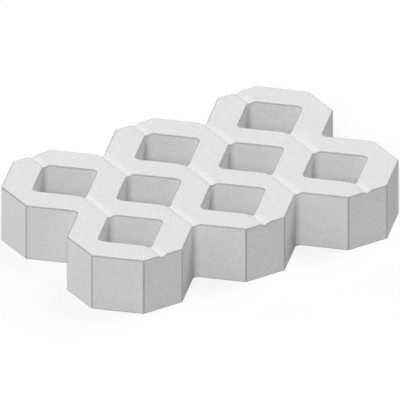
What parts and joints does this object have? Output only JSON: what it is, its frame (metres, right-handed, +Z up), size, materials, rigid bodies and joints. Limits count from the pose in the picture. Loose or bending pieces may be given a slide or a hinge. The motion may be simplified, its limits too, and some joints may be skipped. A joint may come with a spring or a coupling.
{
  "type": "concrete grass paving stone",
  "caption": "Cast concrete grass paving stone: a rectangular slab of octagonal cells with square openings, notched edges and shallow grooves across its top.",
  "frame": {"origin": "middle of the bed face, on the ground", "axes": "+X along the length, +Y across the width, +Z up from the bed face to the grooved top face"},
  "size_m": [0.6, 0.4, 0.1],
  "materials": {
    "concrete": "light grey cast concrete, fine-grained and matte"
  },
  "bodies": {
    "root": {"paving_stone": "concrete"}
  },
  "joints": []
}
